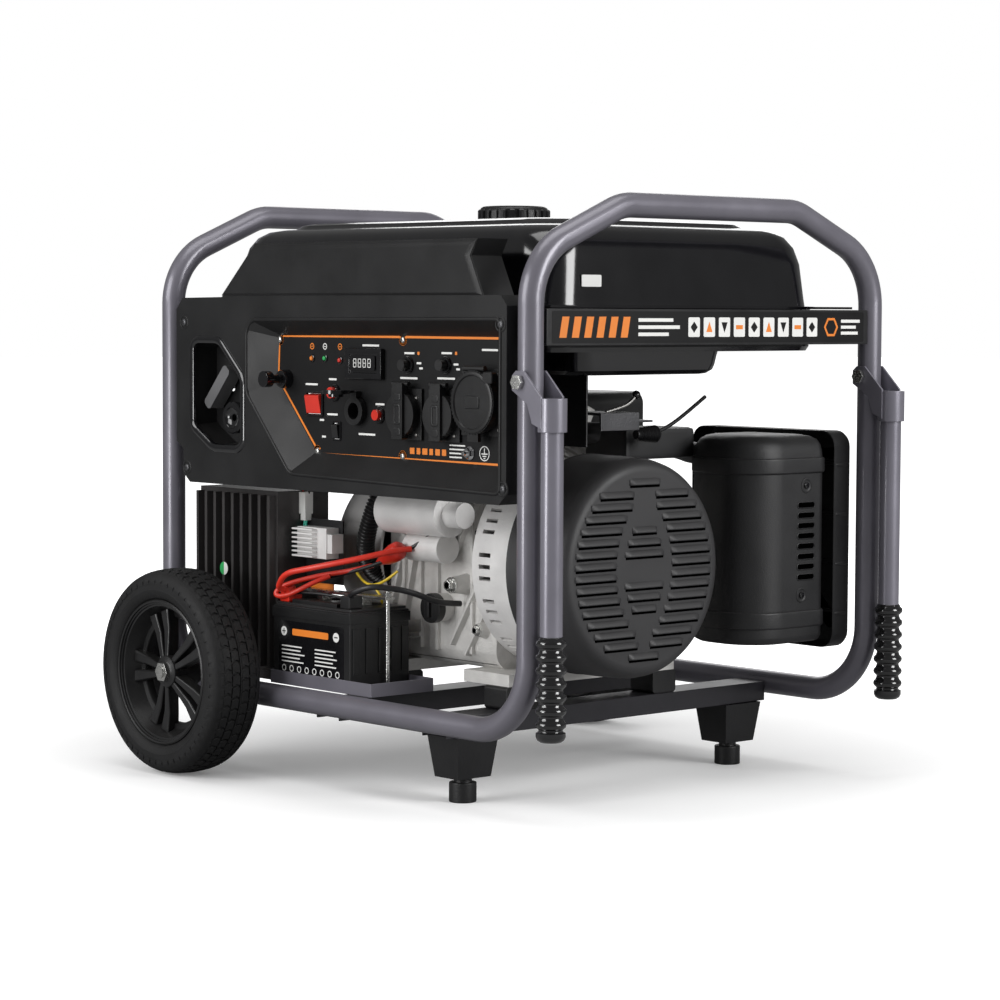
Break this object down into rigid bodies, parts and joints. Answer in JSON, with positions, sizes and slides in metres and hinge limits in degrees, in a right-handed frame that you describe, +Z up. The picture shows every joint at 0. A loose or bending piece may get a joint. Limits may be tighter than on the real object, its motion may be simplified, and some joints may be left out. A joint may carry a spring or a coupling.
{
  "type": "inverter generator",
  "caption": "Open-frame inverter generator with fuel tank, control panel, battery, wheels and folding lifting handles.",
  "frame": {"origin": "on the floor, under the middle of the whole machine", "axes": "+X towards the end with the lifting handles, -Y towards the control panel, +Z up"},
  "size_m": [0.829, 0.852, 0.785],
  "materials": {
    "frame": null,
    "steel_bracket": null,
    "zinc": null,
    "handle_tube": null,
    "grip": null,
    "foot_rubber": null,
    "tyre": null,
    "rim": null,
    "tank": null,
    "cap": null,
    "housing": null,
    "plate": null,
    "display": null,
    "switch_red": null,
    "switch_black": null,
    "button_red": null,
    "button_black": null,
    "knob": null,
    "socket": null,
    "socket_flap": null,
    "recoil": null,
    "inverter": null,
    "cast_aluminium": null,
    "fan_cowl": null,
    "stator_steel": null,
    "rotor_steel": null,
    "cover": null,
    "starter": null,
    "plug_plastic": null,
    "air_box": null,
    "exhaust": null,
    "battery_case": null,
    "tray": null,
    "lead_red": null,
    "lead_black": null
  },
  "bodies": {
    "root": {"frame_loop_right": "frame", "frame_loop_left": "frame", "frame_rail_front": "frame", "frame_rail_rear": "frame", "tank_beam_right": "frame", "tank_beam_left": "frame", "cross_channel_right": "frame", "cross_channel_left": "frame", "foot_brackets": "steel_bracket", "rubber_feet": "foot_rubber", "axle": "zinc", "bolts_and_nuts": "zinc", "fuel_tank": "tank", "panel_housing": "housing", "control_plate": "plate", "display": "display", "dc_socket": "socket", "outlet_left": "socket", "outlet_right": "socket", "outlet_large": "socket", "inverter_module": "inverter", "crankcase": "cast_aluminium", "cylinder_head": "cast_aluminium", "bell_housing": "cast_aluminium", "recoil_starter": "fan_cowl", "stator": "stator_steel", "alternator_cover": "cover", "starter_motor": "starter", "engine_mounts": "foot_rubber", "air_cleaner": "air_box", "muffler": "exhaust", "muffler_guard": "exhaust", "battery": "battery_case", "battery_tray": "tray", "battery_clamp": "zinc", "battery_lead_red": "lead_red", "battery_lead_black": "lead_black"},
    "wheel_front": {"wheel_front": "rim", "tyre_front": "tyre"},
    "wheel_rear": {"wheel_rear": "rim", "tyre_rear": "tyre"},
    "handle_front": {"handle_front": "handle_tube", "handle_grip_front": "grip"},
    "handle_rear": {"handle_rear": "handle_tube", "handle_grip_rear": "grip"},
    "fuel_cap": {"fuel_cap": "cap"},
    "engine_rocker": {"engine_rocker": "switch_red"},
    "eco_rocker": {"eco_rocker": "switch_black"},
    "reset_button": {"reset_button": "button_red"},
    "dc_breaker_button": {"dc_breaker_button": "button_red"},
    "ac_breaker_left": {"ac_breaker_left": "button_black"},
    "ac_breaker_right": {"ac_breaker_right": "button_black"},
    "choke_knob": {"choke_knob": "knob"},
    "dc_socket_lid": {"dc_socket_lid": "socket_flap"},
    "outlet_left_flap": {"outlet_left_flap": "socket_flap"},
    "outlet_right_flap": {"outlet_right_flap": "socket_flap"},
    "outlet_large_flap": {"outlet_large_flap": "socket_flap"},
    "recoil_handle": {"recoil_handle": "recoil"},
    "oil_plug": {"oil_plug": "plug_plastic"},
    "rotor_shaft": {"rotor_shaft": "rotor_steel"}
  },
  "joints": [
    {"name": "wheel_front_spin", "type": "hinge", "parent": "root", "child": "wheel_front", "pos_m": [-0.2735, -0.386, 0.141], "axis": [0, 1, 0], "continuous": true},
    {"name": "handle_front_fold", "type": "hinge", "parent": "root", "child": "handle_front", "pos_m": [0.357, -0.3134, 0.549], "axis": [0, -1, 0], "range_deg": [0, 90]},
    {"name": "wheel_rear_spin", "type": "hinge", "parent": "root", "child": "wheel_rear", "pos_m": [-0.2735, 0.386, 0.141], "axis": [0, 1, 0], "continuous": true},
    {"name": "handle_rear_fold", "type": "hinge", "parent": "root", "child": "handle_rear", "pos_m": [0.357, 0.3134, 0.549], "axis": [0, -1, 0], "range_deg": [0, 90]},
    {"name": "fuel_cap_twist", "type": "hinge", "parent": "root", "child": "fuel_cap", "pos_m": [-0.0205, 0, 0.77], "axis": [0, 0, 1], "range_deg": [0, 90]},
    {"name": "engine_rocker_tilt", "type": "hinge", "parent": "root", "child": "engine_rocker", "pos_m": [-0.0735, -0.308, 0.511], "axis": [-1, 0, 0], "range_deg": [0, 20]},
    {"name": "eco_rocker_tilt", "type": "hinge", "parent": "root", "child": "eco_rocker", "pos_m": [-0.0265, -0.308, 0.476], "axis": [-1, 0, 0], "range_deg": [0, 16]},
    {"name": "dc_socket_lid_hinge", "type": "hinge", "parent": "root", "child": "dc_socket_lid", "pos_m": [0.0175, -0.32, 0.5295], "axis": [1, 0, 0], "range_deg": [0, 90]},
    {"name": "outlet_left_flap_hinge", "type": "hinge", "parent": "root", "child": "outlet_left_flap", "pos_m": [0.1195, -0.321, 0.542], "axis": [-1, 0, 0], "range_deg": [0, 100], "stiffness_Nm_per_rad": 0.03, "springref_deg": -17.19},
    {"name": "outlet_right_flap_hinge", "type": "hinge", "parent": "root", "child": "outlet_right_flap", "pos_m": [0.1935, -0.321, 0.542], "axis": [-1, 0, 0], "range_deg": [0, 100], "stiffness_Nm_per_rad": 0.03, "springref_deg": -17.19},
    {"name": "outlet_large_flap_hinge", "type": "hinge", "parent": "root", "child": "outlet_large_flap", "pos_m": [0.2655, -0.324, 0.564], "axis": [-1, 0, 0], "range_deg": [0, 105], "stiffness_Nm_per_rad": 0.04, "springref_deg": -17.19},
    {"name": "oil_plug_twist", "type": "hinge", "parent": "root", "child": "oil_plug", "pos_m": [0.0295, -0.19, 0.238], "axis": [0, -1, 0], "range_deg": [0, 360]},
    {"name": "rotor_spin", "type": "hinge", "parent": "root", "child": "rotor_shaft", "pos_m": [0.0845, -0.072, 0.303], "axis": [1, 0, 0], "continuous": true},
    {"name": "reset_button_press", "type": "slide", "parent": "root", "child": "reset_button", "axis": [0, 1, 0], "range_m": [0, 0.0024], "stiffness_N_per_m": 400, "springref_m": -0.002},
    {"name": "dc_breaker_button_press", "type": "slide", "parent": "root", "child": "dc_breaker_button", "axis": [0, 1, 0], "range_m": [0, 0.0024], "stiffness_N_per_m": 400, "springref_m": -0.002},
    {"name": "ac_breaker_left_press", "type": "slide", "parent": "root", "child": "ac_breaker_left", "axis": [0, 1, 0], "range_m": [0, 0.0024], "stiffness_N_per_m": 400, "springref_m": -0.002},
    {"name": "ac_breaker_right_press", "type": "slide", "parent": "root", "child": "ac_breaker_right", "axis": [0, 1, 0], "range_m": [0, 0.0024], "stiffness_N_per_m": 400, "springref_m": -0.002},
    {"name": "choke_pull", "type": "slide", "parent": "root", "child": "choke_knob", "axis": [0, -1, 0], "range_m": [0, 0.025]},
    {"name": "recoil_pull", "type": "slide", "parent": "root", "child": "recoil_handle", "axis": [0, -1, 0], "range_m": [0, 0.22], "stiffness_N_per_m": 40, "springref_m": -0.15}
  ]
}
